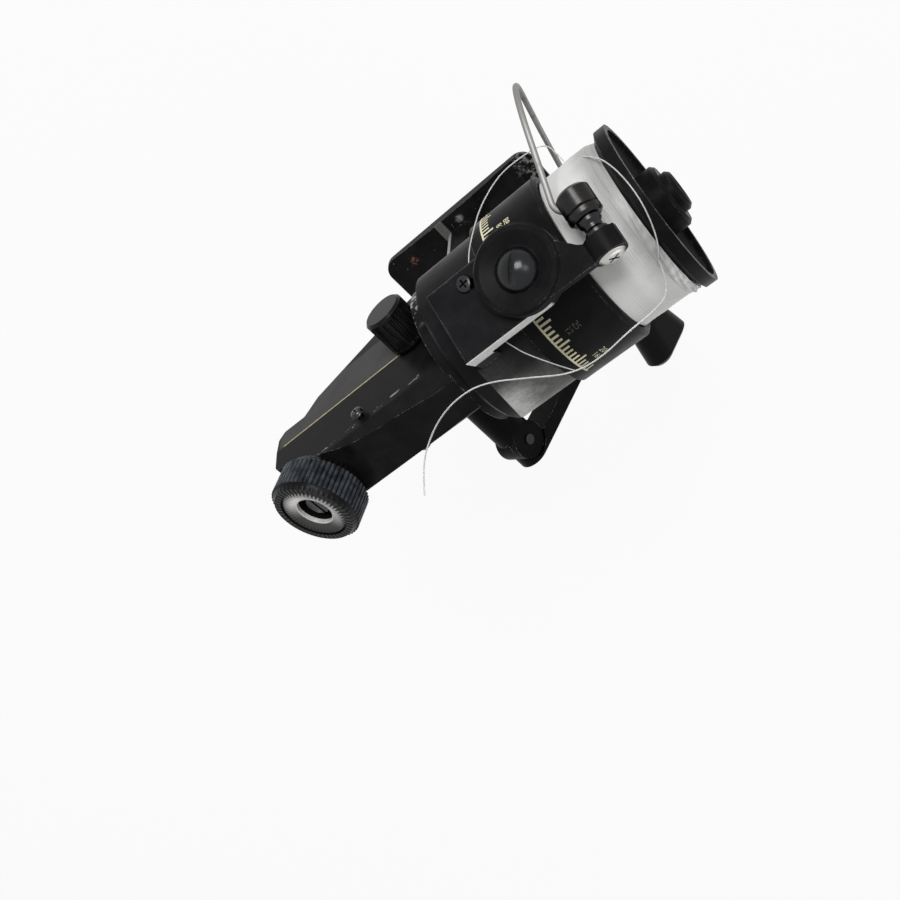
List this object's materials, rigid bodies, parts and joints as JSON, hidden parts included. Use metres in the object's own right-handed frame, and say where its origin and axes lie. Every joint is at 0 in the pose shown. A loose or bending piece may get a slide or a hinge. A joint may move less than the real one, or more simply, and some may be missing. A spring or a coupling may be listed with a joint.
{
  "type": "fishing reel",
  "caption": "Spinning reel with a fold-over bail, rotor, skirted spool of line, folding-style crank with paddle grip, rear drag knob and foot.",
  "frame": {"origin": "middle of the foot's seat face, where the reel sits on the rod", "axes": "+X forward along the spool's axis, +Y towards the side of the tension cap, +Z from the foot's seat up to the reel's body"},
  "size_m": [0.1514, 0.125, 0.1372],
  "materials": {
    "body_black": "semi-gloss moulded",
    "rotor_black": "semi-gloss moulded",
    "spool_black": "gloss anodised",
    "grip_black": "matt moulded",
    "collar_black": "gloss",
    "arm_cast": "satin paint",
    "steel": "turned",
    "chrome": "polished",
    "wire_steel": "polished wire",
    "brass": "turned",
    "bronze": "sintered",
    "zinc": "die cast",
    "line_clear": "clear nylon"
  },
  "bodies": {
    "body": {"housing": "body_black", "side_cover": "body_black", "cover_screw_1": "collar_black", "cover_screw_2": "collar_black", "cover_screw_3": "collar_black", "case_screw": "collar_black", "rotor_bearing": "steel", "crank_bush_near": "bronze", "crank_bush_far": "bronze"},
    "rotor": {"rotor": "rotor_black", "rotor_nut": "steel", "pinion": "brass", "arm_cover_near": "rotor_black", "arm_cover_far": "rotor_black", "arm_screw_near": "collar_black", "arm_screw_far": "collar_black", "pivot_screw_near": "collar_black", "pivot_screw_far": "collar_black"},
    "bail": {"bail_arm": "arm_cast", "bail_holder": "arm_cast", "bail_wire": "wire_steel", "roller_screw": "chrome", "wire_collar": "collar_black"},
    "roller": {"line_roller": "chrome"},
    "shaft": {"main_shaft": "steel", "slider": "zinc", "shaft_ring": "steel", "loose_line": "line_clear"},
    "spool": {"spool": "spool_black", "line_core": "line_clear", "line_turns": "line_clear", "spool_washer": "chrome", "spool_cap": "collar_black"},
    "button": {"spool_button": "collar_black"},
    "crank": {"crank_axle": "arm_cast", "drive_gear": "zinc", "tension_cap": "grip_black", "elbow_pin": "steel", "crank_arm": "arm_cast", "grip_pin": "steel"},
    "grip": {"grip": "grip_black"},
    "drag": {"drag_knob": "grip_black", "knob_ring": "chrome", "drag_stem": "steel"}
  },
  "joints": [
    {"name": "crank_turn", "type": "hinge", "parent": "body", "child": "crank", "pos_m": [-0.017, 0, 0.0734], "axis": [0, -1, 0], "continuous": true},
    {"name": "rotor_turn", "type": "hinge", "parent": "body", "child": "rotor", "pos_m": [0, 0, 0.078], "axis": [1, 0, 0], "continuous": true},
    {"name": "bail_swing", "type": "hinge", "parent": "rotor", "child": "bail", "pos_m": [0.029, -0.00212, 0.08012], "axis": [0, -0.7071, -0.7071], "range_deg": [0, 95]},
    {"name": "roller_spin", "type": "hinge", "parent": "bail", "child": "roller", "pos_m": [0.0506, 0.02418, 0.10218], "axis": [0, -0.7071, 0.7071], "continuous": true},
    {"name": "spool_stroke", "type": "slide", "parent": "body", "child": "shaft", "axis": [1, 0, 0], "range_m": [-0.007, 0.007]},
    {"name": "spool_slip", "type": "hinge", "parent": "shaft", "child": "spool", "pos_m": [0, 0, 0.078], "axis": [1, 0, 0], "continuous": true},
    {"name": "spool_release", "type": "slide", "parent": "spool", "child": "button", "axis": [-1, 0, 0], "range_m": [0, 0.0015], "stiffness_N_per_m": 1500, "springref_m": -0.001},
    {"name": "grip_spin", "type": "hinge", "parent": "crank", "child": "grip", "pos_m": [0.02831, 0, 0.01744], "axis": [0, -1, 0], "continuous": true},
    {"name": "drag_turn", "type": "hinge", "parent": "body", "child": "drag", "pos_m": [-0.069, 0, 0.1026], "axis": [-0.3987, 0, 0.9171], "continuous": true}
  ],
  "couplings": [
    {"joint": "rotor_turn", "follows": "crank_turn", "ratio": -5}
  ]
}
